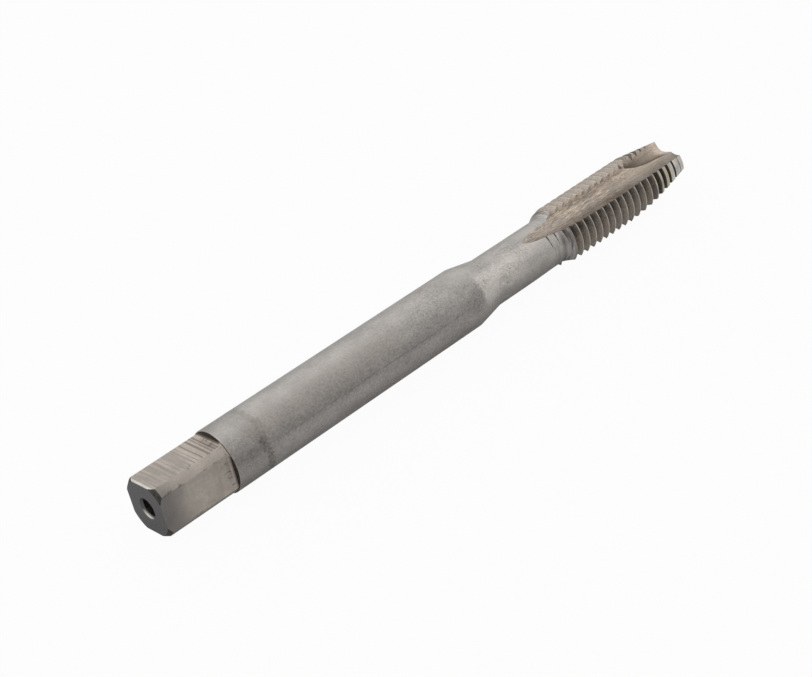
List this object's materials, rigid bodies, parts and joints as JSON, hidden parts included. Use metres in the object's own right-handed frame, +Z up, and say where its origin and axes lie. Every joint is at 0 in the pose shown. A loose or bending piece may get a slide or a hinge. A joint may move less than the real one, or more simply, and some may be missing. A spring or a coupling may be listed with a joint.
{
  "type": "thread tap",
  "caption": "Machine tap for cutting a metric M8 thread in a drilled hole: drive square, round shank, slim neck, straight flutes and a spiral point.",
  "frame": {"origin": "under the middle of the tap, on the floor it lies on", "axes": "+X along the tap's axis from the drive square to the tip, +Z up"},
  "size_m": [0.088, 0.008, 0.008],
  "materials": {
    "steel": "ground high speed steel"
  },
  "bodies": {
    "root": {"thread_tap": "steel"}
  },
  "joints": []
}
